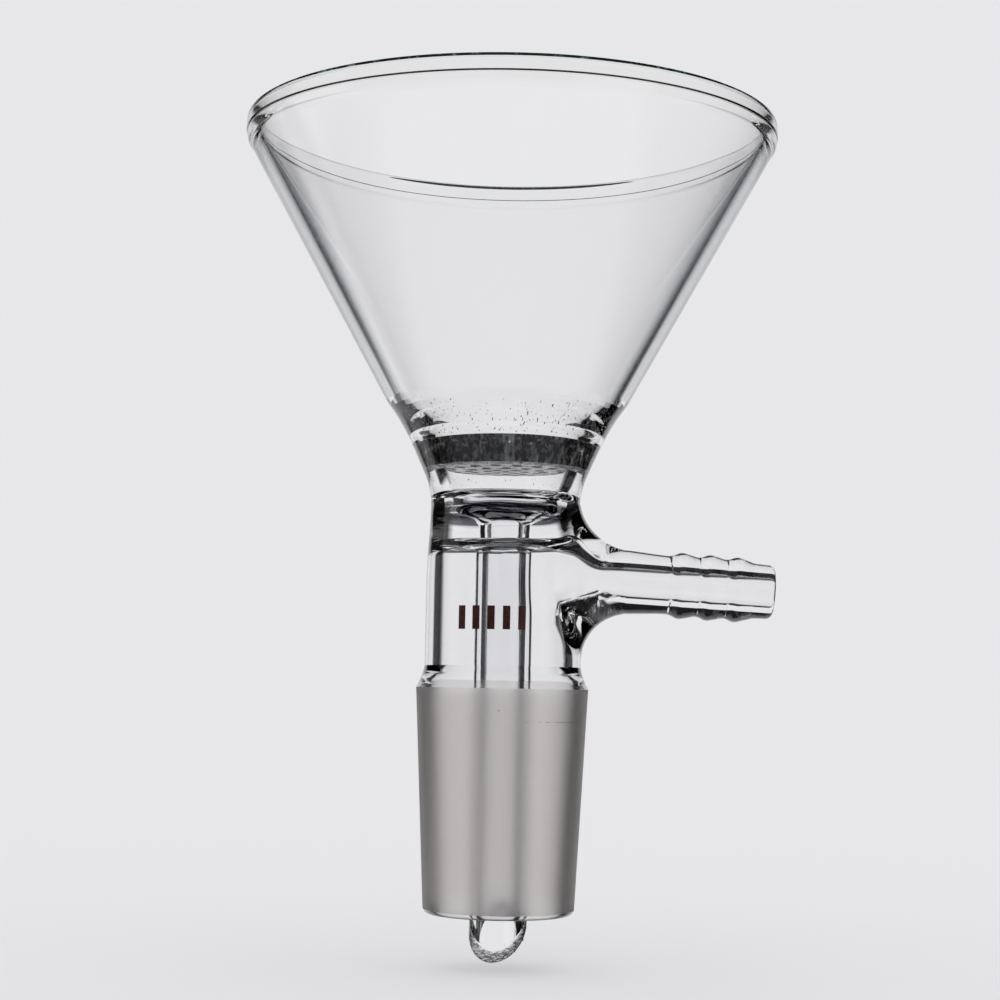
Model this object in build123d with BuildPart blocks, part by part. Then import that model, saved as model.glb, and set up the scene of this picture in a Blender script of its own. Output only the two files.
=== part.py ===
from build123d import *
import math
import os

os.makedirs("parts", exist_ok=True)

# Conical vacuum filter funnel in borosilicate glass. Every piece is sealed to the next in the flame.
# Origin: centre of the large end of the ground zone. +Z runs up the axis, +X towards the hose.

# Ground joint, standard taper 24/29
joint_diameter = 24.0          # large end of the ground zone
joint_length = 29.0            # ground zone, along the axis
joint_taper = 0.1              # diameter lost per length
joint_wall = 1.8
joint_end_length = 2.1         # clear end below the ground zone
joint_end_round = 0.9          # fire polish on that end
shank_length = 3.0             # clear flare between the ground zone and the jacket

# Jacket, the outer tube that carries the vacuum
jacket_diameter = 21.8
jacket_wall = 2.1
jacket_length = 23.0           # from the shank to the ring seal
neck_diameter = 20.9           # where the jacket meets the collector
neck_length = 1.0
ring_seal_length = 5.6         # solid glass that closes the top of the jacket
ceiling_round = 1.6            # rounding of the vacuum space under the ring seal

# Drip tube, inside the jacket
drip_diameter = 8.0
drip_wall = 1.5
drip_tip_length = 6.4          # how far the tip reaches below the joint
drip_cut_angle = 45.0          # degrees, oblique cut of the tip
drip_cut_turn = 13.0           # degrees from the front, lowest point of the tip
drip_throat_length = 2.8       # cup between the bore and the collector
drip_throat_diameter = 11.6    # mouth of that cup
drip_throat_side = 1.5         # upright part of its wall

# Collector, the small funnel under the plate
collector_height = 4.8
collector_diameter = 23.7      # outside, at the plate
plate_ledge = 2.1              # how far it reaches in under the plate
chamber_draft = 1.3            # how much narrower the chamber is at its floor, in radius
chamber_floor_height = 0.6     # above the ring seal
collector_hollow = 0.25        # how far its outside curves in

# Perforated plate
plate_diameter = 21.8
plate_thickness = 4.0
hole_diameter = 1.3
hole_rings = 3
hole_margin = 1.0              # from the outer ring of holes to the chamber's wall

# Filter head, the heavy ring that holds the plate
well_depth = 5.2               # from the plate to the foot of the bowl
well_shoulder_height = 4.0     # sloping shoulder at the top of the well
well_shoulder_round = 1.2
head_hollow = 0.35             # how far its outside curves in

# Bowl
bowl_foot_diameter = 33.9
bowl_height = 39.8
bowl_wall = 1.8
rim_diameter = 75.2
rim_bead_height = 4.2
rim_bead_projection = 0.9      # beyond the cone of the bowl
rim_roll = 1.25                # radius of the upper roll of the bead
rim_lower_roll = 1.05
rim_crease_depth = 0.4         # groove between the two rolls

# Hose connection
arm_height = 16.0              # where its line crosses the main axis
arm_droop = 3.0                # degrees below level
arm_length = 37.75             # tip, measured from the main axis
arm_seal_distance = 17.0       # seal with the jacket's pulled lip
arm_root_diameter = 8.8
arm_diameter = 8.2
arm_bore_diameter = 4.0
arm_root_blend = 5.0
arm_mouth_blend = 2.0          # rounding of the opening inside the jacket
ridge_start = 23.3
ridge_count = 3
ridge_pitch = 3.9
ridge_rise_length = 1.3
ridge_height = 0.65
ridge_round = 0.35
tip_diameter = 7.5
tip_round = 0.8

# Fired enamel size mark on the jacket
mark_bar_width = 1.0
mark_bar_height = 3.2
mark_bar_pitch = 2.1
mark_bar_count = 5
mark_height = 9.5              # centre of the mark
mark_turn = -9.0               # degrees from the front
mark_thickness = 0.1

# Places that follow from the sizes
joint_radius = joint_diameter / 2
joint_end_radius = joint_radius - joint_length * joint_taper / 2
joint_end = -joint_length - joint_end_length
jacket_radius = jacket_diameter / 2
jacket_bore_radius = jacket_radius - jacket_wall
neck_radius = neck_diameter / 2
drip_radius = drip_diameter / 2
drip_bore_radius = drip_radius - drip_wall
drip_tip = joint_end - drip_tip_length
jacket_top = shank_length + jacket_length
ceiling = jacket_top - ring_seal_length
collar_radius = (jacket_bore_radius + drip_radius) / 2
ceiling_corner = min(ceiling_round, (collar_radius - drip_radius) * 0.8)  # limited by half the gap
collector_top = jacket_top + collector_height
plate_radius = plate_diameter / 2
chamber_radius = plate_radius - plate_ledge
hole_pitch = (chamber_radius - hole_margin) / hole_rings
plate_top = collector_top + plate_thickness
bowl_foot = plate_top + well_depth
rim_top = bowl_foot + bowl_height
bowl_foot_radius = bowl_foot_diameter / 2
rim_radius = rim_diameter / 2
cone_top = rim_top - rim_bead_height
cone_top_radius = rim_radius - rim_bead_projection
cone_slope = (cone_top_radius - bowl_foot_radius) / (cone_top - bowl_foot)
bowl_wall_across = bowl_wall * math.hypot(1, cone_slope)
arm_slope = math.radians(arm_droop)
arm_axis = Axis((0, 0, arm_height), (math.cos(arm_slope), 0, -math.sin(arm_slope)))
arm_plane = Plane(origin=arm_axis.position, x_dir=arm_axis.direction, z_dir=(0, -1, 0))


def finish(piece, name):
    """Label a finished piece and write its file."""
    piece.part.label = name
    export_step(piece.part, f"parts/{name}.step")
    box = piece.part.bounding_box()
    print(f"{name:18s} solids {len(piece.part.solids())}  volume {piece.part.volume:9.1f}  "
          f"z {box.min.Z:7.2f} to {box.max.Z:7.2f}")


def cone_radius(height):
    """Outside radius of the bowl's cone at a height."""
    return bowl_foot_radius + cone_slope * (height - bowl_foot)


def corner(across, up):
    """Corner of the profile being drawn that lies nearest to a place in its own plane."""
    return vertices().sort_by_distance((across, up))[0]


# Bowl: a thin cone with a rolled bead
roll_height = rim_top - rim_roll
crease_radius = rim_radius - rim_crease_depth
crease_height = bowl_foot + (crease_radius - bowl_foot_radius) / cone_slope
with BuildPart() as bowl:
    with BuildSketch(Plane.XZ):
        with BuildLine():
            Polyline(
                (bowl_foot_radius, bowl_foot),
                (crease_radius, crease_height),
                (crease_radius, roll_height),
                (cone_radius(roll_height) - bowl_wall_across, roll_height),
                (bowl_foot_radius - bowl_wall_across, bowl_foot),
                close=True,
            )
        make_face()
        with Locations((rim_radius - rim_roll, roll_height)):
            Circle(rim_roll)
        with Locations((crease_radius - rim_lower_roll + rim_crease_depth / 2, cone_top + rim_lower_roll)):
            Circle(rim_lower_roll)
    revolve(axis=Axis.Z)
finish(bowl, "bowl")

# Filter head: the heavy ring between the bowl and the collector, bored for the plate
with BuildPart() as filter_head:
    with BuildSketch(Plane.XZ):
        with BuildLine():
            outside_foot = (collector_diameter / 2, collector_top)
            outside_top = (bowl_foot_radius, bowl_foot)
            middle_radius = (outside_foot[0] + outside_top[0]) / 2 - head_hollow
            middle_height = (outside_foot[1] + outside_top[1]) / 2
            ThreePointArc(outside_foot, (middle_radius, middle_height), outside_top)
            Line(outside_top, (bowl_foot_radius - bowl_wall_across, bowl_foot))
            Polyline(
                (bowl_foot_radius - bowl_wall_across, bowl_foot),
                (plate_radius, bowl_foot - well_shoulder_height),
                (plate_radius, collector_top),
                outside_foot,
            )
        make_face()
        fillet(corner(plate_radius, bowl_foot - well_shoulder_height), well_shoulder_round)
    revolve(axis=Axis.Z)
finish(filter_head, "filter_head")

# Perforated plate: a thick disc sealed into the bore of the head
with BuildPart() as perforated_plate:
    with BuildSketch(Plane.XY.offset(collector_top)):
        Circle(plate_radius)
        Circle(hole_diameter / 2, mode=Mode.SUBTRACT)
        for ring in range(1, hole_rings + 1):
            with PolarLocations(ring * hole_pitch, 6 * ring):
                Circle(hole_diameter / 2, mode=Mode.SUBTRACT)
    extrude(amount=plate_thickness)
finish(perforated_plate, "perforated_plate")

# Collector: the small funnel under the plate
with BuildPart() as collector:
    with BuildSketch(Plane.XZ):
        with BuildLine():
            outside_foot = (neck_radius, jacket_top)
            outside_top = (collector_diameter / 2, collector_top)
            middle_radius = (outside_foot[0] + outside_top[0]) / 2 - collector_hollow
            ThreePointArc(outside_foot, (middle_radius, (jacket_top + collector_top) / 2), outside_top)
            Polyline(
                outside_top,
                (chamber_radius, collector_top),
                (chamber_radius - chamber_draft, jacket_top + chamber_floor_height),
                (drip_throat_diameter / 2, jacket_top),
                outside_foot,
            )
        make_face()
    revolve(axis=Axis.Z)
finish(collector, "collector")

# Drip tube: flared into a collar at the ring seal, cut oblique at the tip
with BuildPart() as drip_tube:
    with BuildSketch(Plane.XZ):
        with BuildLine():
            Polyline(
                (drip_throat_diameter / 2, jacket_top),
                (collar_radius, jacket_top),
                (collar_radius, ceiling),
                (drip_radius, ceiling),
                (drip_radius, drip_tip),
                (drip_bore_radius, drip_tip),
                (drip_bore_radius, jacket_top - drip_throat_length),
                (drip_throat_diameter / 2, jacket_top - drip_throat_side),
                close=True,
            )
        make_face()
        fillet(corner(drip_radius, ceiling), ceiling_corner)
    revolve(axis=Axis.Z)
    cut_rise = math.tan(math.radians(drip_cut_angle))
    low_x = -math.sin(math.radians(drip_cut_turn))
    low_y = -math.cos(math.radians(drip_cut_turn))
    cut_plane = Plane(
        origin=(low_x * drip_radius, low_y * drip_radius, drip_tip),
        z_dir=(low_x * cut_rise, low_y * cut_rise, 1),
    )
    split(bisect_by=cut_plane, keep=Keep.TOP)
finish(drip_tube, "drip_tube")

# Jacket: closed at the top by the ring seal, with a lip pulled out for the hose connection
arm_root_radius = arm_root_diameter / 2
arm_bore_radius = arm_bore_diameter / 2
blend_room = jacket_top - neck_length - arm_height - arm_root_radius
with BuildPart() as jacket:
    with BuildSketch(Plane.XZ):
        with BuildLine():
            Polyline(
                (0, shank_length),
                (jacket_radius, shank_length),
                (jacket_radius, jacket_top - neck_length),
                (neck_radius, jacket_top),
                (0, jacket_top),
                close=True,
            )
        make_face()
    revolve(axis=Axis.Z)
    with BuildSketch(arm_plane):
        with BuildLine():
            Polyline(
                (0, 0),
                (arm_seal_distance, 0),
                (arm_seal_distance, arm_root_radius),
                (0, arm_root_radius),
                close=True,
            )
        make_face()
    revolve(axis=arm_axis)
    lip_foot = edges().filter_by(GeomType.BSPLINE)
    fillet(lip_foot, min(arm_root_blend, blend_room * 0.95))
    with BuildSketch(Plane.XZ):
        with BuildLine():
            Polyline(
                (0, shank_length),
                (jacket_bore_radius, shank_length),
                (jacket_bore_radius, ceiling),
                (collar_radius, ceiling),
                (collar_radius, jacket_top),
                (0, jacket_top),
                close=True,
            )
        make_face()
        fillet(corner(jacket_bore_radius, ceiling), ceiling_corner)
    revolve(axis=Axis.Z, mode=Mode.SUBTRACT)
    with BuildSketch(arm_plane):
        with BuildLine():
            Polyline(
                (jacket_bore_radius - 2 * arm_mouth_blend, 0),
                (arm_seal_distance, 0),
                (arm_seal_distance, arm_bore_radius),
                (jacket_bore_radius + arm_mouth_blend, arm_bore_radius),
                (jacket_bore_radius - 2 * arm_mouth_blend, arm_bore_radius + 3 * arm_mouth_blend),
                close=True,
            )
        make_face()
    revolve(axis=arm_axis, mode=Mode.SUBTRACT)
finish(jacket, "jacket")

# Hose connection: a straight tube with three serrations and a polished tip
arm_radius = arm_diameter / 2
tip_radius = tip_diameter / 2
ridge_profile = []
for ridge in range(ridge_count):
    foot = ridge_start + ridge * ridge_pitch
    ridge_profile.append((foot, arm_radius))
    ridge_profile.append((foot + ridge_rise_length, arm_radius + ridge_height))
with BuildPart() as hose_connection:
    with BuildSketch(arm_plane):
        with BuildLine():
            Polyline(
                (arm_seal_distance, arm_bore_radius),
                (arm_seal_distance, arm_root_radius),
                *ridge_profile,
                (ridge_start + ridge_count * ridge_pitch, tip_radius),
                (arm_length, tip_radius),
                (arm_length, arm_bore_radius),
                close=True,
            )
        make_face()
        for place in ridge_profile:
            fillet(corner(*place), ridge_round)
        fillet(vertices().group_by(Axis.X)[-1], tip_round)
    revolve(axis=arm_axis)
finish(hose_connection, "hose_connection")

# Ground joint: 1 in 10 taper, with a flared shank above and a polished end below
with BuildPart() as ground_joint:
    with BuildSketch(Plane.XZ):
        with BuildLine():
            TangentArc((jacket_radius, shank_length), (joint_radius, 0), tangent=(0, -1))
            Polyline(
                (joint_radius, 0),
                (joint_end_radius, -joint_length),
                (joint_end_radius, joint_end),
                (joint_end_radius - joint_wall, joint_end),
                (joint_end_radius - joint_wall, -joint_length),
                (joint_radius - joint_wall, 0),
                (jacket_bore_radius, shank_length),
                (jacket_radius, shank_length),
            )
        make_face()
        fillet(vertices().group_by(Axis.Y)[0], joint_end_round)
    revolve(axis=Axis.Z)
finish(ground_joint, "ground_joint")

# Size mark: a row of fired enamel bars on the front of the jacket
bar_step = math.degrees(mark_bar_pitch / jacket_radius)
bar_sweep = math.degrees(mark_bar_width / jacket_radius)
mark_start = -90 + mark_turn - bar_step * (mark_bar_count - 1) / 2
with BuildPart() as size_mark:
    for bar in range(mark_bar_count):
        bar_angle = mark_start + bar * bar_step
        with BuildSketch(Plane.XZ.rotated((0, 0, bar_angle - bar_sweep / 2))):
            with Locations((jacket_radius + mark_thickness / 2, mark_height)):
                Rectangle(mark_thickness, mark_bar_height)
        revolve(axis=Axis.Z, revolution_arc=bar_sweep)
finish(size_mark, "size_mark")
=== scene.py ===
import math
import random

import bmesh
import bpy
from mathutils import Matrix, Vector


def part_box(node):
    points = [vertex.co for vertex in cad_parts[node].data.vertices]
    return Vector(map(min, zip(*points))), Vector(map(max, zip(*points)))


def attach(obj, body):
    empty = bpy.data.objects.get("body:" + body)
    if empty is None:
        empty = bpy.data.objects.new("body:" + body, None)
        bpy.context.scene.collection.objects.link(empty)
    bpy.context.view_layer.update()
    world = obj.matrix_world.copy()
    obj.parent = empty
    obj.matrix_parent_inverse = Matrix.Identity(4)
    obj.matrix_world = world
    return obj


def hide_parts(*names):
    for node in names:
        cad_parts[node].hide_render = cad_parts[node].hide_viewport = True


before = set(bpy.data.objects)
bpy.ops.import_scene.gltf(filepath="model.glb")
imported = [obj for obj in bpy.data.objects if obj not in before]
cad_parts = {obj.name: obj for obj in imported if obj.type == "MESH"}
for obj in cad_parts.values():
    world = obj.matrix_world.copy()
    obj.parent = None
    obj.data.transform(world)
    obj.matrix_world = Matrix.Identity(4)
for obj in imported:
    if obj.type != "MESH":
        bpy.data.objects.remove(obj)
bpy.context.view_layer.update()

mm = 0.001


class Wire:
    # a node output that takes + - * / with numbers and other wires
    def __init__(self, look, socket):
        self.look = look
        self.socket = socket

    def maths(self, operation, first, second):
        return self.look.node("ShaderNodeMath", {"operation": operation}, {0: first, 1: second})

    def __add__(self, other):
        return self.maths("ADD", self, other)

    def __radd__(self, other):
        return self.maths("ADD", other, self)

    def __sub__(self, other):
        return self.maths("SUBTRACT", self, other)

    def __rsub__(self, other):
        return self.maths("SUBTRACT", other, self)

    def __mul__(self, other):
        return self.maths("MULTIPLY", self, other)

    def __rmul__(self, other):
        return self.maths("MULTIPLY", other, self)

    def __truediv__(self, other):
        return self.maths("DIVIDE", self, other)


class Look:
    # one material, built node by node
    def __init__(self, name):
        self.material = bpy.data.materials.new(name)
        self.material.use_nodes = True
        self.tree = self.material.node_tree
        self.tree.nodes.clear()

    def node(self, kind, settings=None, sockets=None, out=0):
        made = self.tree.nodes.new(kind)
        for key, value in (settings or {}).items():
            if key == "stops":
                while len(made.color_ramp.elements) < len(value):
                    made.color_ramp.elements.new(1.0)
                for stop, (place, colour) in zip(made.color_ramp.elements, value):
                    stop.position = place
                    stop.color = colour
            else:
                setattr(made, key, value)
        for key, value in (sockets or {}).items():
            if isinstance(value, Wire):
                self.tree.links.new(value.socket, made.inputs[key])
            else:
                made.inputs[key].default_value = value
        return Wire(self, made.outputs[out]) if made.outputs else made

    def noise(self, where, scale, detail=3.0, roughness=0.5):
        return self.node("ShaderNodeTexNoise", {}, {
            "Vector": where, "Scale": scale, "Detail": detail, "Roughness": roughness})

    def stretched(self, scale):
        place = self.node("ShaderNodeTexCoord", out="Object")
        return self.node("ShaderNodeMapping", {}, {"Vector": place, "Scale": scale})

    def axes(self):
        place = self.node("ShaderNodeTexCoord", out="Object")
        outputs = self.node("ShaderNodeSeparateXYZ", {}, {"Vector": place}).socket.node.outputs
        return [Wire(self, outputs[axis]) for axis in "XYZ"]

    def angle(self, along, across):
        return self.node("ShaderNodeMath", {"operation": "ARCTAN2"}, {0: across, 1: along})

    def ramp(self, amount, stops):
        return self.node("ShaderNodeValToRGB", {"stops": stops}, {"Fac": amount}, "Color")

    def step(self, amount, low, high):
        return self.ramp(amount, [(low, (0, 0, 0, 1)), (high, (1, 1, 1, 1))])

    def between(self, amount, first, second):
        return self.node("ShaderNodeMix", {"data_type": "RGBA"}, {0: amount, 6: first, 7: second}, 2)

    def opening(self, amount, low, high, edge):
        # 1 between low and high, 0 outside, soft over 2 * edge
        rise = self.node("ShaderNodeMapRange", {}, {0: amount, 1: low - edge, 2: low + edge})
        fall = self.node("ShaderNodeMapRange", {}, {0: amount, 1: high - edge, 2: high + edge, 3: 1.0, 4: 0.0})
        return rise * fall

    def bump(self, height, strength, distance):
        return self.node("ShaderNodeBump", {}, {"Height": height, "Strength": strength, "Distance": distance})

    def surface(self, shader):
        self.node("ShaderNodeOutputMaterial", {}, {"Surface": shader})
        return self.material


glassFinish = {
    "index": 1.473,
    "tint": (0.992, 0.992, 0.997, 1),
    "tintDeep": (0.982, 0.984, 0.990, 1),
    "waveSize": 90.0,  # per metre
    "waveHeight": 0.00002,
    "edge": (0.10, 0.115, 0.13, 1),  # painted shade towards grazing view, standing in for the dark outlines of the glass
    "shine": (0.55, 0.56, 0.58, 1),
}


def paintedEdgeShade(look, colour, begin, end, edgeShadeColour):
    # painted shade: base colour darkened towards grazing view, standing in for the dark outlines that bent glass
    # shows
    facing = look.node("ShaderNodeLayerWeight", {}, {"Blend": 0.5}, "Facing")
    share = look.node("ShaderNodeMapRange", {}, {0: facing, 1: begin, 2: end})
    return look.between(share, colour, edgeShadeColour)


def clearGlass(name, tint=None, wave=1.0, begin=0.80, end=0.97):
    look = Look(name)
    wide = look.noise(look.stretched((1, 1, 0.6)), glassFinish["waveSize"], 2.0)
    colour = look.between(wide, tint or glassFinish["tint"], glassFinish["tintDeep"])
    # painted shade towards the outline
    colour = paintedEdgeShade(look, colour, begin, end, glassFinish["edge"])
    normal = look.bump(wide, 0.25 * wave, glassFinish["waveHeight"])
    return look.surface(look.node("ShaderNodeBsdfPrincipled", {}, {
        "Base Color": colour, "Roughness": 0.0, "IOR": glassFinish["index"],
        "Specular Tint": glassFinish["shine"], "Transmission Weight": 1.0, "Normal": normal}))


# colours of the painted shade band on the rim top
rimShadeLook = {"dark": (0.006, 0.018, 0.014, 1), "pale": (0.16, 0.30, 0.26, 1), "chips": 700.0, "chipHeight": 0.0002}


def paintedRimShade():
    # painted shade: an opaque dark green band with paler flecks on top of the rim, standing in for the dark line at
    # the glass edge
    look = Look("paintedRimShade")
    chips = look.noise(look.stretched((1, 1, 1)), rimShadeLook["chips"], 3.0, 0.6)
    flecks = look.step(chips, 0.55, 0.68)
    return look.surface(look.node("ShaderNodeBsdfPrincipled", {}, {
        "Base Color": look.between(flecks, rimShadeLook["dark"], rimShadeLook["pale"]),
        "Roughness": 0.35 + chips * 0.2, "Specular IOR Level": 0.2,
        "Normal": look.bump(chips, 0.8, rimShadeLook["chipHeight"])}))


fusedFinish = {
    "rippleSize": 150.0,  # per metre
    "rippleHeight": 0.0008,
    "bandSize": 1400.0,
    "dark": (0.02, 0.02, 0.025, 1),
    "low": 22.7, "high": 25.3,  # mm, where the bands of painted shade lie
}


def fusedGlass():
    # the worked ring seal, with long level ripples and bands of painted shade
    look = Look("fusedGlass")
    up = look.axes()[2] / mm
    ripples = look.noise(look.stretched((0.35, 0.35, 1.3)), fusedFinish["rippleSize"], 2.0)
    shadeBands = look.step(look.noise(look.stretched((0.10, 0.10, 1.0)), fusedFinish["bandSize"], 2.0), 0.34, 0.44)
    shadeBands = shadeBands * look.opening(up, fusedFinish["low"], fusedFinish["high"], 0.4)
    colour = paintedEdgeShade(look, glassFinish["tintDeep"], 0.80, 0.97, glassFinish["edge"])
    # painted shade: dark bands laid over the seal's colour
    colour = look.between(shadeBands, colour, fusedFinish["dark"])
    return look.surface(look.node("ShaderNodeBsdfPrincipled", {}, {
        "Base Color": colour, "Roughness": 0.0, "IOR": glassFinish["index"],
        "Transmission Weight": 1.0, "Normal": look.bump(ripples, 1.0, fusedFinish["rippleHeight"])}))


def sealFace():
    # where two pieces are fused nothing shows
    look = Look("seal")
    return look.surface(look.node("ShaderNodeBsdfPrincipled", {}, {
        "Base Color": (1, 1, 1, 1), "Alpha": 0.0, "Roughness": 0.0, "IOR": 1.0, "Transmission Weight": 0.0}))


# colours of the painted seam shade
seamFinish = {
    "dark": (0.012, 0.012, 0.014, 1),
    "pale": (0.85, 0.85, 0.85, 1),
    "streaks": 5.5,  # round the plate, per radian
    "cover": 0.93,
    "blots": 1500.0,
}


def paintedSeamShade():
    # painted shade on the skin between plate and wall: mostly dark, with paler upright streaks and specks painted in
    look = Look("paintedSeamShade")
    right, back, up = look.axes()
    turn = look.angle(right, back)
    ring = look.node("ShaderNodeCombineXYZ", {}, {"X": turn * seamFinish["streaks"], "Y": up * 160})
    streaks = look.noise(ring, 1.0, 3.0, 0.6)
    blots = look.noise(look.stretched((1, 1, 0.6)), seamFinish["blots"], 3.0, 0.7)
    clear = look.step(streaks, 0.53, 0.60)
    speck = look.step(blots, 0.50, 0.60)
    colour = look.between(clear * 0.9 + speck * 0.35 * (1.0 - clear), seamFinish["dark"], seamFinish["pale"])
    return look.surface(look.node("ShaderNodeBsdfPrincipled", {}, {
        "Base Color": colour, "Roughness": 0.35, "Alpha": seamFinish["cover"] * (1.0 - clear * 0.5),
        "Normal": look.bump(blots, 0.6, 0.0001)}))


sawnFinish = {"dark": (0.25, 0.25, 0.27, 1), "pale": (0.98, 0.98, 0.98, 1), "chips": 1900.0}


def sawnGlass():
    # the rough cut face of the tip
    look = Look("sawnGlass")
    chips = look.noise(look.stretched((1, 1, 1)), sawnFinish["chips"], 3.0, 0.7)
    spots = look.step(chips, 0.42, 0.55)
    return look.surface(look.node("ShaderNodeBsdfPrincipled", {}, {
        "Base Color": look.between(spots, sawnFinish["dark"], sawnFinish["pale"]),
        "Roughness": 0.1 + chips * 0.4, "IOR": glassFinish["index"], "Transmission Weight": 1.0,
        "Normal": look.bump(chips, 1.0, 0.0003)}))


plateFinish = {
    "dark": (0.12, 0.12, 0.125, 1),
    "pale": (0.97, 0.97, 0.97, 1),
    "blots": 420.0,
}


def pressedGlass():
    # the uneven faces of the plate; the dark and pale patches in its colour are painted light and shade
    look = Look("pressedGlass")
    blots = look.noise(look.stretched((1, 1, 0.5)), plateFinish["blots"], 4.0, 0.65)
    mottleLightAndShade = look.step(blots, 0.40, 0.60)
    colour = look.between(mottleLightAndShade, plateFinish["dark"], plateFinish["pale"])
    return look.surface(look.node("ShaderNodeBsdfPrincipled", {}, {
        "Base Color": colour, "Roughness": 0.02 + blots * 0.22, "IOR": glassFinish["index"],
        "Transmission Weight": 1.0, "Normal": look.bump(blots, 0.9, 0.0004)}))


groundFinish = {
    "light": (0.835, 0.80, 0.775, 1),
    "dark": (0.735, 0.70, 0.675, 1),
    # painted shade towards the outline of the ground joint
    "edge": (0.34, 0.325, 0.315, 1),
    "scratch": (0.25, 0.24, 0.24, 1),
    "roughness": 0.42,
    "roughnessSpread": 0.10,
    "ringSize": 160.0, "cloudSize": 90.0, "grainSize": 2600.0, "pitSize": 900.0,  # per metre
    "grainHeight": 0.00003,
    "scratchHeight": -4.5, "scratchWidth": 0.09,  # mm
}


def groundGlass():
    look = Look("groundGlass")
    right, back, up = look.axes()
    rings = look.noise(look.stretched((1, 1, 9)), groundFinish["ringSize"], 4.0)  # turning marks left by the grinding
    clouds = look.noise(look.stretched((1, 1, 0.35)), groundFinish["cloudSize"], 3.0)
    grain = look.noise(look.stretched((1, 1, 1)), groundFinish["grainSize"], 2.0)
    colour = look.between(rings * 0.35 + clouds * 0.4 + grain * 0.25, groundFinish["dark"], groundFinish["light"])
    # painted shade: darker towards the outline at grazing view
    colour = paintedEdgeShade(look, colour, 0.30, 0.62, groundFinish["edge"])
    offLine = look.node("ShaderNodeMath", {"operation": "ABSOLUTE"}, {0: up / mm - groundFinish["scratchHeight"]})
    line = look.node("ShaderNodeMath", {"operation": "LESS_THAN"}, {0: offLine, 1: groundFinish["scratchWidth"] / 2})
    dashes = look.step(look.noise(look.stretched((1, 1, 0.1)), groundFinish["pitSize"], 2.0), 0.45, 0.52)
    side = look.step(right * 100 + 0.5, 0.80, 0.86)  # only towards the hose side
    pits = look.step(look.noise(look.stretched((1, 1, 1)), groundFinish["pitSize"], 1.0), 0.79, 0.82)
    colour = look.between(line * dashes * side, colour, groundFinish["scratch"])
    colour = look.between(pits * 0.7, colour, groundFinish["scratch"])
    rough = groundFinish["roughness"] + (rings - 0.5) * groundFinish["roughnessSpread"]
    return look.surface(look.node("ShaderNodeBsdfPrincipled", {}, {
        "Base Color": colour, "Roughness": rough, "IOR": glassFinish["index"], "Specular IOR Level": 0.25,
        "Transmission Weight": 1.0, "Normal": look.bump(grain, 0.4, groundFinish["grainHeight"])}))


enamelFinish = {"dark": (0.022, 0.004, 0.003, 1), "light": (0.065, 0.011, 0.008, 1), "specks": 2200.0}


def firedEnamel():
    look = Look("firedEnamel")
    specks = look.noise(look.stretched((1, 1, 1)), enamelFinish["specks"], 3.0)
    colour = look.ramp(specks, [(0.30, enamelFinish["dark"]), (0.62, enamelFinish["light"])])
    return look.surface(look.node("ShaderNodeBsdfPrincipled", {}, {
        "Base Color": colour, "Roughness": 0.32 + specks * 0.2, "Normal": look.bump(specks, 0.3, 0.00003)}))


seal = sealFace()
bodyGlass = clearGlass("bodyGlass")
bowlWallGlass = clearGlass("bowlWallGlass", begin=0.66, end=0.86)
rimGlass = clearGlass("rimGlass", (0.955, 0.955, 0.94, 1), begin=0.72, end=0.9)
rimEdge = paintedRimShade()
fused = fusedGlass()
sawn = sawnGlass()
plateGlass = clearGlass("plateGlass", (0.93, 0.95, 0.945, 1), 3.0)
seam = paintedSeamShade()
pressed = pressedGlass()
ground = groundGlass()
enamel = firedEnamel()
print("finishes ready")


def profileLoop(bm, corners):
    # a closed outline in the XZ plane; each corner is (radius, height, set back of its rounding), in mm
    points = [bm.verts.new((r * mm, 0, z * mm)) for r, z, _ in corners]
    for first, second in zip(points, points[1:] + points[:1]):
        bm.edges.new((first, second))
    return points


def roundCorners(bm, points, corners, segments=8):
    for point, (_, _, setBack) in zip(points, corners):
        if setBack:
            bmesh.ops.bevel(bm, geom=[point], offset=setBack * mm, offset_type="OFFSET", segments=segments,
                            profile=0.5, affect="VERTICES", material=-1)


def splitLong(bm, longest):
    # fine rows on the straight stretches of an outline
    for edge in list(bm.edges):
        cuts = int(edge.calc_length() / (longest * mm))
        if cuts:
            bmesh.ops.subdivide_edges(bm, edges=[edge], cuts=cuts)


def spinProfile(corners, steps=256, longest=1.2):
    bm = bmesh.new()
    points = profileLoop(bm, corners)
    roundCorners(bm, points, corners)
    splitLong(bm, longest)
    bmesh.ops.spin(bm, geom=bm.verts[:] + bm.edges[:], cent=(0, 0, 0), axis=(0, 0, 1), angle=2 * math.pi,
                   steps=steps, use_merge=True)
    bmesh.ops.remove_doubles(bm, verts=bm.verts, dist=1e-7)
    bmesh.ops.recalc_face_normals(bm, faces=bm.faces)
    return bm


def radiusOf(point):
    return math.hypot(point.x, point.y) / mm


def heightOf(point):
    return point.z / mm


def onCircle(turn, out, up):
    # a point in metres from an angle in radians, a radius and a height in mm
    return Vector((math.cos(turn) * out, math.sin(turn) * out, up)) * mm


def paint(bm, index, chosen):
    for face in bm.faces:
        if chosen(face.calc_center_median()):
            face.material_index = index


def paintSeals(bm, heights=(), radii=(), index=1):
    # seals are flat rings at a height, or walls at a radius between two heights
    for height in heights:
        paint(bm, index, lambda c: abs(heightOf(c) - height) < 0.004)
    for radius, low, high in radii:
        paint(bm, index, lambda c: abs(radiusOf(c) - radius) < 0.01 and low < heightOf(c) < high)


def addObject(name, bm, materials):
    mesh = bpy.data.meshes.new(name)
    bm.to_mesh(mesh)
    bm.free()
    for material in materials:
        mesh.materials.append(material)
    made = bpy.data.objects.new(name, mesh)
    bpy.context.scene.collection.objects.link(made)
    return made


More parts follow.
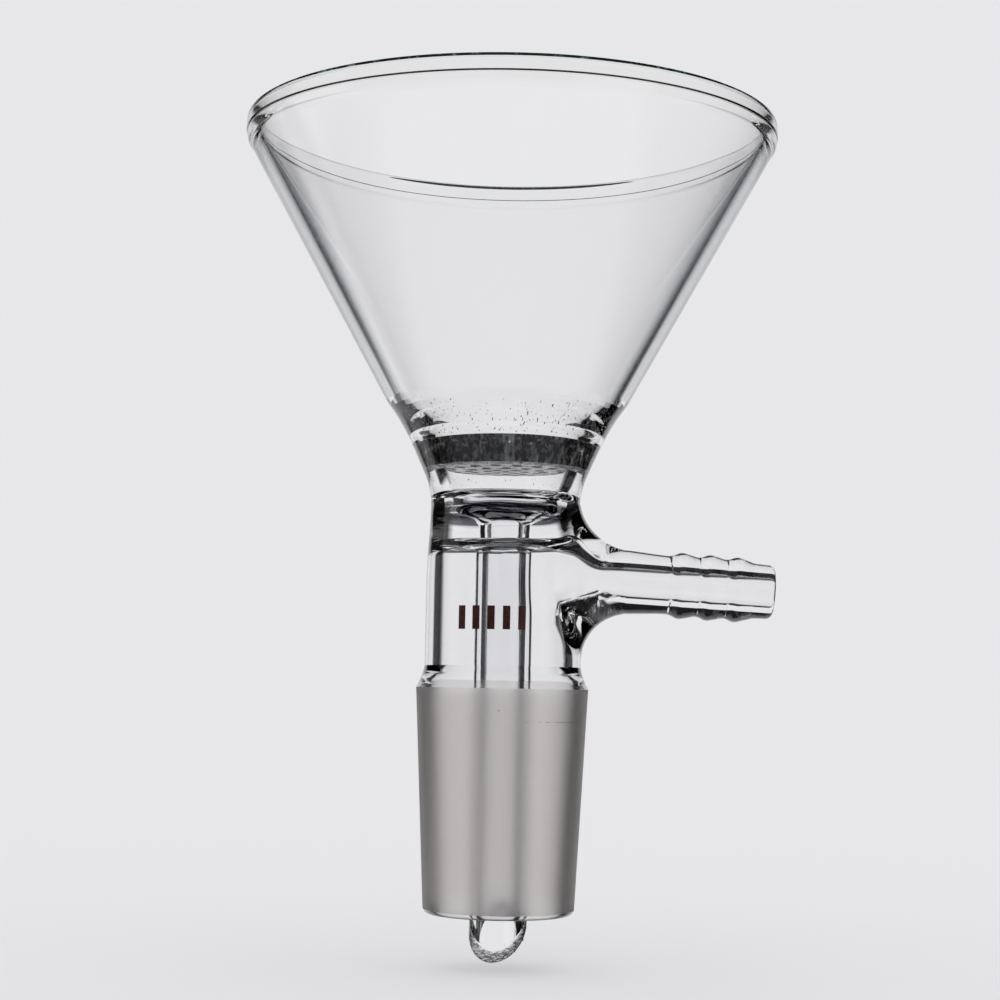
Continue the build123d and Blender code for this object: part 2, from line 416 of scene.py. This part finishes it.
def finishPiece(bm, name, materials, node, sharpAngle=32):
    piece = addObject(name, bm, materials)
    piece.data.shade_smooth()
    piece.data.set_sharp_from_angle(angle=math.radians(sharpAngle))
    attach(piece, "root")
    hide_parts(node)
    print(name, len(piece.data.polygons), "faces")


def seedsIn(bm, count, spot, size, seed):
    # small bubbles left in the glass: closed skins that face inwards
    pick = random.Random(seed)
    bubbles = bmesh.new()
    for _ in range(count):
        radius = pick.uniform(*size) * mm
        where = Matrix.Translation(spot(pick))
        shape = Matrix.Diagonal((radius, radius, radius * pick.uniform(1.0, 2.4), 1))
        bmesh.ops.create_icosphere(bubbles, subdivisions=1, radius=1.0, matrix=where @ shape)
    bmesh.ops.reverse_faces(bubbles, faces=bubbles.faces[:])
    mesh = bpy.data.meshes.new("bubbles")
    bubbles.to_mesh(mesh)
    bubbles.free()
    bm.from_mesh(mesh)
    bpy.data.meshes.remove(mesh)


# heights and radii that the frame gives, in mm

def level(node, end):
    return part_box(node)[end].z / mm


bowlFoot, rimTop = level("bowl", 0), level("bowl", 1)
plateLow, plateTop = level("perforated_plate", 0), level("perforated_plate", 1)
neckLevel = level("jacket", 1)
shankLevel = level("jacket", 0)
jointEnd = level("ground_joint", 0)
tipLevel = level("drip_tube", 0)
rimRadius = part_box("bowl")[1].x / mm
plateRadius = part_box("perforated_plate")[1].x / mm


bowlSize = {
    "footRadius": 16.95, "footInside": 14.89,
    "coneTop": 36.75, "coneTopBelowRim": 4.2,
    "beadFoot": (0.16, 3.3), "creaseFoot": (0.10, 2.68),  # in from the rim's radius, below its top
    "crease": 37.42, "creaseBelowRim": 2.5, "creaseTop": 2.3,
    "rimWall": 2.0, "rimRound": 0.95, "rimInside": 2.4,
    "edgeDepth": 0.56, "tintedDepth": 4.4,
}


def makeBowl():
    s = bowlSize
    corners = [
        (s["footRadius"], bowlFoot, 0),
        (s["coneTop"], rimTop - s["coneTopBelowRim"], 0.4),
        (rimRadius - s["beadFoot"][0], rimTop - s["beadFoot"][1], 0.5),
        (rimRadius - s["creaseFoot"][0], rimTop - s["creaseFoot"][1], 0.06),
        (s["crease"], rimTop - s["creaseBelowRim"], 0.05),
        (rimRadius, rimTop - s["creaseTop"], 0.08),
        (rimRadius, rimTop, s["rimRound"]),
        (rimRadius - s["rimWall"], rimTop, s["rimRound"]),
        (rimRadius - s["rimWall"], rimTop - s["rimInside"], 0.7),
        (s["footInside"], bowlFoot, 0),
    ]
    bm = spinProfile(corners, 320, longest=6)
    paintSeals(bm, heights=(bowlFoot,))
    paint(bm, 2, lambda c: heightOf(c) > rimTop - s["tintedDepth"])
    # painted shade: the top of the rim takes the opaque dark green band
    paint(bm, 3, lambda c: heightOf(c) > rimTop - s["edgeDepth"] and radiusOf(c) > rimRadius - s["rimRound"])
    finishPiece(bm, "bowlGlass", (bowlWallGlass, seal, rimGlass, rimEdge), "bowl", 60)


makeBowl()


headSize = {
    "lowRadius": 11.85, "shoulder": 4.0, "shoulderRound": 0.8,
    "waist": [(14.0, 35.6, 2.4), (15.35, 37.75, 1.0)],  # corners of the hollow outside
    "seeds": 300, "seedRadius": (0.04, 0.11), "seedRise": 4.2,
}


def makeHead():
    s = headSize
    corners = [
        (bowlSize["footRadius"], bowlFoot, 0),
        (bowlSize["footInside"], bowlFoot, 0),
        (plateRadius, bowlFoot - s["shoulder"], s["shoulderRound"]),
        (plateRadius, plateTop, 0),
        (plateRadius, plateLow, 0),
        (s["lowRadius"], plateLow, 0),
    ] + s["waist"]
    bm = spinProfile(corners)
    paintSeals(bm, heights=(bowlFoot, plateLow), radii=((plateRadius, plateLow, plateTop),))

    def inWall(pick):
        turn = pick.uniform(0, 2 * math.pi)
        up = plateTop + 0.2 + pick.random() ** 1.5 * s["seedRise"]
        out = plateRadius + 0.3 + pick.random() * 1.1 + max(up - bowlFoot + s["shoulder"], 0)
        return onCircle(turn, out, up)

    seedsIn(bm, s["seeds"], inWall, s["seedRadius"], 7)
    finishPiece(bm, "filterHeadGlass", (bodyGlass, seal), "filter_head")


makeHead()


plateSize = {
    "holeRadius": 0.65, "rings": 3, "pitch": 2.6, "holeEdge": 0.09, "seamGap": 0.02,
    "seeds": 260, "seedRadius": (0.04, 0.13), "seedsFrom": 9.1, "seedsAcross": 1.6,
}


def makePlate():
    s = plateSize
    bm = bmesh.new()
    places = [onCircle(0, 0, plateLow)]
    for ring in range(1, s["rings"] + 1):
        for hole in range(6 * ring):
            places.append(onCircle(2 * math.pi * hole / (6 * ring), ring * s["pitch"], plateLow))
    bmesh.ops.create_circle(bm, segments=256, radius=(plateRadius - s["seamGap"]) * mm,
                            matrix=Matrix.Translation((0, 0, plateLow * mm)))
    for place in places:
        bmesh.ops.create_circle(bm, segments=32, radius=s["holeRadius"] * mm, matrix=Matrix.Translation(place))
    bmesh.ops.triangle_fill(bm, edges=bm.edges[:], use_beauty=True, normal=(0, 0, 1))
    grown = bmesh.ops.extrude_face_region(bm, geom=bm.faces[:], use_keep_orig=True)
    top = [part for part in grown["geom"] if isinstance(part, bmesh.types.BMVert)]
    bmesh.ops.translate(bm, vec=(0, 0, (plateTop - plateLow) * mm), verts=top)
    bmesh.ops.recalc_face_normals(bm, faces=bm.faces)
    ends = [e for e in bm.edges if e.calc_face_angle(0) > 1.2 and radiusOf(e.verts[0].co) < plateRadius - 0.5]
    bmesh.ops.bevel(bm, geom=ends, offset=s["holeEdge"] * mm, offset_type="OFFSET", segments=2, profile=0.5,
                    affect="EDGES", material=-1)
    # top and bottom faces take the painted light and shade patches
    paint(bm, 2, lambda c: min(abs(heightOf(c) - plateLow), abs(heightOf(c) - plateTop)) < 0.01)
    # the plate's side takes the painted seam shade
    paint(bm, 1, lambda c: radiusOf(c) > plateRadius - 0.05)

    def betweenHoles(pick):
        turn = pick.uniform(0, 2 * math.pi)
        out = s["seedsFrom"] + pick.random() * s["seedsAcross"]
        return onCircle(turn, out, pick.uniform(plateLow + 0.2, plateTop - 0.2))

    seedsIn(bm, s["seeds"], betweenHoles, s["seedRadius"], 11)
    finishPiece(bm, "perforatedPlateGlass", (plateGlass, seam, pressed), "perforated_plate")


makePlate()


collectorSize = {
    "chamber": 8.8, "chamberFloor": 7.5, "floorHeight": 26.6, "throat": 5.8, "neck": 10.45,
    "waist": (10.75, 28.3, 1.4), "seeds": 70, "seedRadius": (0.035, 0.08),
}


def makeCollector():
    s = collectorSize
    corners = [
        (headSize["lowRadius"], plateLow, 0),
        (s["chamber"], plateLow, 0),
        (s["chamberFloor"], s["floorHeight"], 0.9),
        (s["throat"], neckLevel, 0),
        (s["neck"], neckLevel, 0),
        s["waist"],
    ]
    bm = spinProfile(corners)
    paintSeals(bm, heights=(plateLow, neckLevel))

    def inWall(pick):
        turn = pick.uniform(0, 2 * math.pi)
        up = pick.uniform(neckLevel + 1.0, plateLow - 0.2)
        out = s["chamber"] + pick.uniform(0.2, 0.9)
        return onCircle(turn, out, up)

    seedsIn(bm, s["seeds"], inWall, s["seedRadius"], 23)
    finishPiece(bm, "collectorGlass", (bodyGlass, seal), "collector")


makeCollector()


dripSize = {
    "collar": 6.4, "ceiling": 20.4, "outside": 4.0, "inside": 2.5, "flareDrop": 2.8, "cupSide": 1.5,
    "cutAngle": 45.0, "cutTurn": 13.0, "polish": 0.35,
}


def makeDripTube():
    s = dripSize
    corners = [
        (collectorSize["throat"], neckLevel, 0),
        (s["collar"], neckLevel, 0),
        (s["collar"], s["ceiling"], 0),
        (s["outside"], s["ceiling"], 1.5),
        (s["outside"], tipLevel, 0),
        (s["inside"], tipLevel, 0),
        (s["inside"], neckLevel - s["flareDrop"], 0.8),
        (collectorSize["throat"], neckLevel - s["cupSide"], 1.1),
    ]
    bm = spinProfile(corners, 192, longest=1.5)
    # the drip tube's upper inside takes the fused glass with its painted shade bands
    paint(bm, 3, lambda c: heightOf(c) > neckLevel - s["flareDrop"] and radiusOf(c) < s["collar"] - 0.01)
    paintSeals(bm, heights=(neckLevel,), radii=((s["collar"], s["ceiling"] + 0.01, neckLevel),))
    turn = math.radians(s["cutTurn"])
    lean = math.tan(math.radians(s["cutAngle"]))
    low = Vector((-math.sin(turn), -math.cos(turn), 0))
    cut = bmesh.ops.bisect_plane(bm, geom=bm.verts[:] + bm.edges[:] + bm.faces[:],
                                 plane_co=low * s["outside"] * mm + Vector((0, 0, tipLevel * mm)),
                                 plane_no=(low.x * lean, low.y * lean, 1), clear_inner=True)
    rims = [part for part in cut["geom_cut"] if isinstance(part, bmesh.types.BMEdge)]
    for face in bmesh.ops.bridge_loops(bm, edges=rims)["faces"]:
        face.material_index = 2
    bmesh.ops.recalc_face_normals(bm, faces=bm.faces)
    bmesh.ops.bevel(bm, geom=rims, offset=s["polish"] * mm, offset_type="OFFSET", segments=5, profile=0.5,
                    affect="EDGES", material=-1)
    finishPiece(bm, "dripTubeGlass", (bodyGlass, seal, sawn, fused), "drip_tube")


makeDripTube()


armSize = {
    "height": 16.0, "droop": 3.0, "sealAt": 17.0, "end": 37.75,
    "lip": 4.48, "root": 4.4, "bore": 2.0, "tube": 4.1,
    "firstRidge": 23.3, "ridges": 3, "pitch": 3.9, "rise": 1.3, "crest": 0.65, "tip": 3.75,
}
armTurn = Matrix.Translation((0, 0, armSize["height"] * mm)) @ Matrix.Rotation(
    math.radians(90 + armSize["droop"]), 4, "Y")  # local Z runs along the arm
armBack = armTurn.inverted()


def makeHoseConnection():
    s = armSize
    corners = [
        (s["bore"], s["sealAt"], 0),
        (s["lip"], s["sealAt"], 0),
        (s["root"] - 0.05, s["sealAt"] + 2.2, 1.5),
        (s["tube"] + 0.02, s["firstRidge"] - 1.6, 1.0),
    ]
    for ridge in range(s["ridges"]):
        foot = s["firstRidge"] + ridge * s["pitch"]
        corners.append((s["tube"] - 0.02 * ridge, foot, 0.5))
        corners.append((s["tube"] + s["crest"] - 0.05 * ridge, foot + s["rise"], 0.5))
    corners += [
        (s["tip"] + 0.1, s["firstRidge"] + s["ridges"] * s["pitch"], 0.5),
        (s["tip"], s["end"], 0.85),
        (s["bore"], s["end"], 0.7),
    ]
    bm = spinProfile(corners, 160, longest=1.5)
    paint(bm, 1, lambda c: abs(heightOf(c) - s["sealAt"]) < 0.004)
    bmesh.ops.transform(bm, matrix=armTurn, verts=bm.verts)
    finishPiece(bm, "hoseConnectionGlass", (bodyGlass, seal), "hose_connection", 50)


makeHoseConnection()


jacketSize = {
    "outside": 10.9, "inside": 8.8, "neck": 10.45, "neckFrom": 16, "neckTo": 24,
    "ceilingRound": 2.3, "steps": 192,
    "outerTurn": 66, "outerLow": 4.0, "outerHigh": 25.4, "outerBlend": 7.2,
    "innerTurn": 56, "innerLow": 7.0, "innerBlend": 4.6, "cuts": 30,
}


def roundUnion(first, second, reach):
    # two shapes joined with a fillet of radius reach
    return max(reach, min(first, second)) - math.hypot(max(reach - first, 0), max(reach - second, 0))


def armCoordinates(point):
    local = armBack @ point
    return local.z / mm, math.hypot(local.x, local.y) / mm


def outsideGap(point):
    s = jacketSize
    up = heightOf(point)
    ease = min(max((up - s["neckFrom"]) / (s["neckTo"] - s["neckFrom"]), 0), 1)
    wall = s["outside"] + (s["neck"] - s["outside"]) * ease * ease * (3 - 2 * ease)
    along, across = armCoordinates(point)
    return roundUnion(radiusOf(point) - wall, across - armSize["root"], s["outerBlend"])


def insideGap(point):
    s = jacketSize
    out = radiusOf(point) - (s["inside"] - s["ceilingRound"])
    up = heightOf(point) - (dripSize["ceiling"] - s["ceilingRound"])
    room = min(max(out, up), 0) + math.hypot(max(out, 0), max(up, 0)) - s["ceilingRound"]
    along, across = armCoordinates(point)
    return roundUnion(room, across - armSize["bore"], s["innerBlend"])


def settle(verts, gap):
    # moves each vertex onto the surface where gap is zero
    step = 0.02 * mm
    for vert in verts:
        for _ in range(12):
            here = gap(vert.co)
            slope = Vector([gap(vert.co + Vector([step if a == b else 0 for b in range(3)])) - here
                            for a in range(3)]) / (step / mm)
            vert.co -= slope * (here * mm / max(slope.length_squared, 1e-6))
            if abs(here) < 1e-5:
                break


def openRims(bm):
    return [edge for edge in bm.edges if edge.is_boundary]


def openLip(bm, chosen, ringRadius, cuts):
    # takes the wall away round the arm and draws its rim out to a ring at the seal
    gone = [face for face in bm.faces if chosen(face.calc_center_median())]
    bmesh.ops.delete(bm, geom=gone, context="FACES")
    rim = [edge for edge in openRims(bm) if armCoordinates(edge.verts[0].co)[0] < armSize["sealAt"] - 0.5]
    drawn = bmesh.ops.extrude_edge_only(bm, edges=rim)["geom"]
    outer = [part for part in drawn if isinstance(part, bmesh.types.BMVert)]
    spokes = [edge for vert in outer for edge in vert.link_edges if not edge.is_boundary]
    for vert in outer:
        local = armBack @ vert.co
        turn = math.atan2(local.y, local.x)
        vert.co = armTurn @ Vector((math.cos(turn) * ringRadius * mm, math.sin(turn) * ringRadius * mm,
                                    armSize["sealAt"] * mm))
    bmesh.ops.subdivide_edges(bm, edges=spokes, cuts=cuts, use_grid_fill=True)


def makeJacket():
    s = jacketSize
    d = dripSize
    corners = [
        (s["outside"], shankLevel, 0),
        (s["outside"], s["neckFrom"], 2.5),
        (s["neck"], s["neckTo"], 2.0),
        (s["neck"], neckLevel, 0),
        (d["collar"], neckLevel, 0),
        (d["collar"], d["ceiling"], 0),
        (s["inside"], d["ceiling"], s["ceilingRound"]),
        (s["inside"], shankLevel, 0),
    ]
    bm = spinProfile(corners, s["steps"], longest=0.5)
    paintSeals(bm, heights=(shankLevel, neckLevel), radii=((d["collar"], d["ceiling"] + 0.01, neckLevel),))

    def facing(centre):
        return abs(math.degrees(math.atan2(centre.y, centre.x)))

    openLip(bm, lambda c: facing(c) < s["outerTurn"] and radiusOf(c) > s["neck"] - 0.2
            and s["outerLow"] < heightOf(c) < s["outerHigh"], armSize["lip"], s["cuts"])
    drawn = [vert for vert in bm.verts if radiusOf(vert.co) > s["neck"] - 0.3 and vert.co.x > 0
             and shankLevel + 0.01 < heightOf(vert.co) < neckLevel - 0.01
             and armCoordinates(vert.co)[0] < armSize["sealAt"] - 0.01]
    settle(drawn, outsideGap)
    openLip(bm, lambda c: facing(c) < s["innerTurn"] and 7.7 < radiusOf(c) < s["inside"] + 0.05
            and s["innerLow"] < heightOf(c), armSize["bore"], s["cuts"])
    inner = [vert for vert in bm.verts if vert.co.x > 0 and d["collar"] + 0.1 < radiusOf(vert.co)
             and shankLevel + 0.01 < heightOf(vert.co) < d["ceiling"] + 0.01
             and (radiusOf(vert.co) < s["inside"] + 0.01 or armCoordinates(vert.co)[1] < armSize["bore"] + 2.4
                  or abs(insideGap(vert.co)) < 3.5)
             and armCoordinates(vert.co)[0] < armSize["sealAt"] - 0.01 and abs(outsideGap(vert.co)) > 0.3]
    settle(inner, insideGap)
    for face in bmesh.ops.bridge_loops(bm, edges=openRims(bm))["faces"]:
        face.material_index = 1
    # faces above the ceiling take the fused glass with its painted shade bands
    for face in bm.faces:
        centre = face.calc_center_median()
        if face.material_index == 0 and heightOf(centre) > d["ceiling"] + 0.5 and centre.x < 8.5 * mm:
            face.material_index = 2
    bmesh.ops.recalc_face_normals(bm, faces=bm.faces)
    finishPiece(bm, "jacketGlass", (bodyGlass, seal, fused), "jacket", 50)


makeJacket()


jointSize = {
    "top": 12.0, "length": 29.0, "taper": 0.1, "wall": 1.8, "endRound": 0.85, "groundEnd": -30.45,
    "shank": [(11.05, 1.9, 1.0), (11.75, 0.55, 0.5)],
}


def makeGroundJoint():
    s = jointSize
    low = s["top"] - s["length"] * s["taper"] / 2
    corners = [
        (jacketSize["outside"], shankLevel, 0),
        *s["shank"],
        (s["top"], 0, 0.1),
        (low, -s["length"], 0),
        (low - 0.1, jointEnd, s["endRound"]),
        (low - s["wall"], jointEnd, s["endRound"] * 0.9),
        (low - s["wall"], -s["length"], 0),
        (s["top"] - s["wall"], 0, 1.0),
        (jacketSize["inside"], shankLevel, 0),
    ]
    bm = spinProfile(corners, 256, longest=2.0)
    paintSeals(bm, heights=(shankLevel,))
    paint(bm, 2, lambda c: s["groundEnd"] < heightOf(c) < -0.02
          and radiusOf(c) > low - 0.45 + max(heightOf(c) + s["length"], 0) * s["taper"] / 2)
    finishPiece(bm, "groundJointGlass", (bodyGlass, seal, ground), "ground_joint", 40)


makeGroundJoint()


# generic fired bars
markSize = {
    "bars": 5, "wide": 1.0, "tall": 3.2, "pitch": 2.1, "height": 9.5, "turn": -9.0,
    "lift": 0.004, "thick": 0.081,  # off the glass, in mm
}


def makeSizeMark():
    s = markSize
    bm = bmesh.new()
    skin = jacketSize["outside"]
    for bar in range(s["bars"]):
        across = (bar - (s["bars"] - 1) / 2) * s["pitch"]
        made = bmesh.ops.create_grid(bm, x_segments=6, y_segments=12, size=0.5)
        bmesh.ops.scale(bm, vec=(s["wide"] * mm, s["tall"] * mm, 1), verts=made["verts"])
        for vert in made["verts"]:
            turn = math.radians(-90 + s["turn"]) + (vert.co.x / mm + across) / skin
            vert.co = onCircle(turn, skin + s["lift"], vert.co.y / mm + s["height"])
    bmesh.ops.recalc_face_normals(bm, faces=bm.faces)
    grown = bmesh.ops.extrude_face_region(bm, geom=bm.faces[:], use_keep_orig=True)
    for part in grown["geom"]:
        if isinstance(part, bmesh.types.BMVert):
            part.co += Vector((part.co.x, part.co.y, 0)).normalized() * s["thick"] * mm
    bmesh.ops.recalc_face_normals(bm, faces=bm.faces)
    finishPiece(bm, "sizeMarkEnamel", (enamel,), "size_mark", 50)


makeSizeMark()


studio = {
    "pale": (0.80, 0.80, 0.815, 1),
    "floorDrop": 1.2,  # mm under the tip
    "floorRadius": 4.0, "surroundRadius": 1.3,  # metres
    "floorShade": 0.45, "floorGlow": 0.55,
    "bright": 0.82, "dark": 0.012, "softEdge": 3.0,
    "openings": [  # lit parts of the tent: from and to in degrees round from +X, then above the horizon
        (58, 122, -30, 28),
        (118, 152, -46, -10),
        (163, 197, -18, 14),
        (298, 332, -32, 2),
        (-10, 370, -57, -30),
        (-10, 370, 78, 87),
    ],
}


def makeWorld():
    world = bpy.data.worlds.new("paleStudio")
    bpy.context.scene.world = world
    world.use_nodes = True
    world.node_tree.nodes["Background"].inputs["Color"].default_value = studio["pale"]


def makeFloor():
    bm = bmesh.new()
    bmesh.ops.create_circle(bm, cap_ends=True, segments=96, radius=studio["floorRadius"],
                            matrix=Matrix.Translation((0, 0, (tipLevel - studio["floorDrop"]) * mm)))
    look = Look("paleFloor")
    shade = look.node("ShaderNodeBsdfDiffuse", {}, {"Color": (studio["floorShade"],) * 3 + (1,)})
    glow = look.node("ShaderNodeEmission", {}, {"Color": studio["pale"], "Strength": studio["floorGlow"]})
    cloth = look.surface(look.node("ShaderNodeAddShader", {}, {0: shade, 1: glow}))
    floor = addObject("floor", bm, (cloth,))
    floor.visible_transmission = False
    floor.visible_glossy = False


def makeSurround():
    # light tent with dark flags: only what glass bends or mirrors shows it
    bm = bmesh.new()
    bmesh.ops.create_uvsphere(bm, u_segments=96, v_segments=48, radius=studio["surroundRadius"])
    look = Look("tentCloth")
    right, back, up = look.axes()
    around = look.angle(right, back) / (2 * math.pi)
    turn = look.node("ShaderNodeMath", {"operation": "FRACT"}, {0: around + 1.0}) * 360  # 0 at +X, 90 at +Y
    height = look.node("ShaderNodeMath", {"operation": "ARCSINE"}, {0: up / studio["surroundRadius"]})
    height = height * (180 / math.pi)
    soft = studio["softEdge"]
    lit = 0.0
    for fromTurn, toTurn, low, high in studio["openings"]:
        lit = lit + look.opening(turn, fromTurn, toTurn, soft) * look.opening(height, low, high, soft)
    share = look.node("ShaderNodeMath", {"operation": "MINIMUM"}, {0: lit, 1: 1.0})
    cloth = (studio["bright"], studio["bright"], studio["bright"] * 1.02, 1)
    colour = look.between(share, (studio["dark"],) * 3 + (1,), cloth)
    glow = look.surface(look.node("ShaderNodeEmission", {}, {"Color": colour, "Strength": 1.0}))
    tent = addObject("surround", bm, (glow,))
    tent.visible_camera = False
    tent.visible_diffuse = False
    tent.visible_shadow = False
    tent.visible_volume_scatter = False


makeWorld()
makeFloor()
makeSurround()
print("studio ready")


cameraSize = {"distance": 307.1, "side": -0.784, "pitch": 4.9, "roll": 1.05, "lens": 78.95}
cameraData = bpy.data.cameras.new("camera")
cameraData.lens = cameraSize["lens"]
cameraData.sensor_width = 36
cameraData.clip_start = 0.01
camera = bpy.data.objects.new("camera", cameraData)
bpy.context.scene.collection.objects.link(camera)
camera.matrix_world = (Matrix.Translation((cameraSize["side"] * mm, -cameraSize["distance"] * mm, 0))
                       @ Matrix.Rotation(math.radians(90 + cameraSize["pitch"]), 4, "X")
                       @ Matrix.Rotation(math.radians(cameraSize["roll"]), 4, "Z"))
bpy.context.scene.camera = camera

scene = bpy.context.scene
scene.view_settings.view_transform = "Standard"
scene.cycles.max_bounces = 28  # glass inside glass needs many
scene.cycles.transmission_bounces = 28
scene.cycles.transparent_max_bounces = 48
print("camera ready")
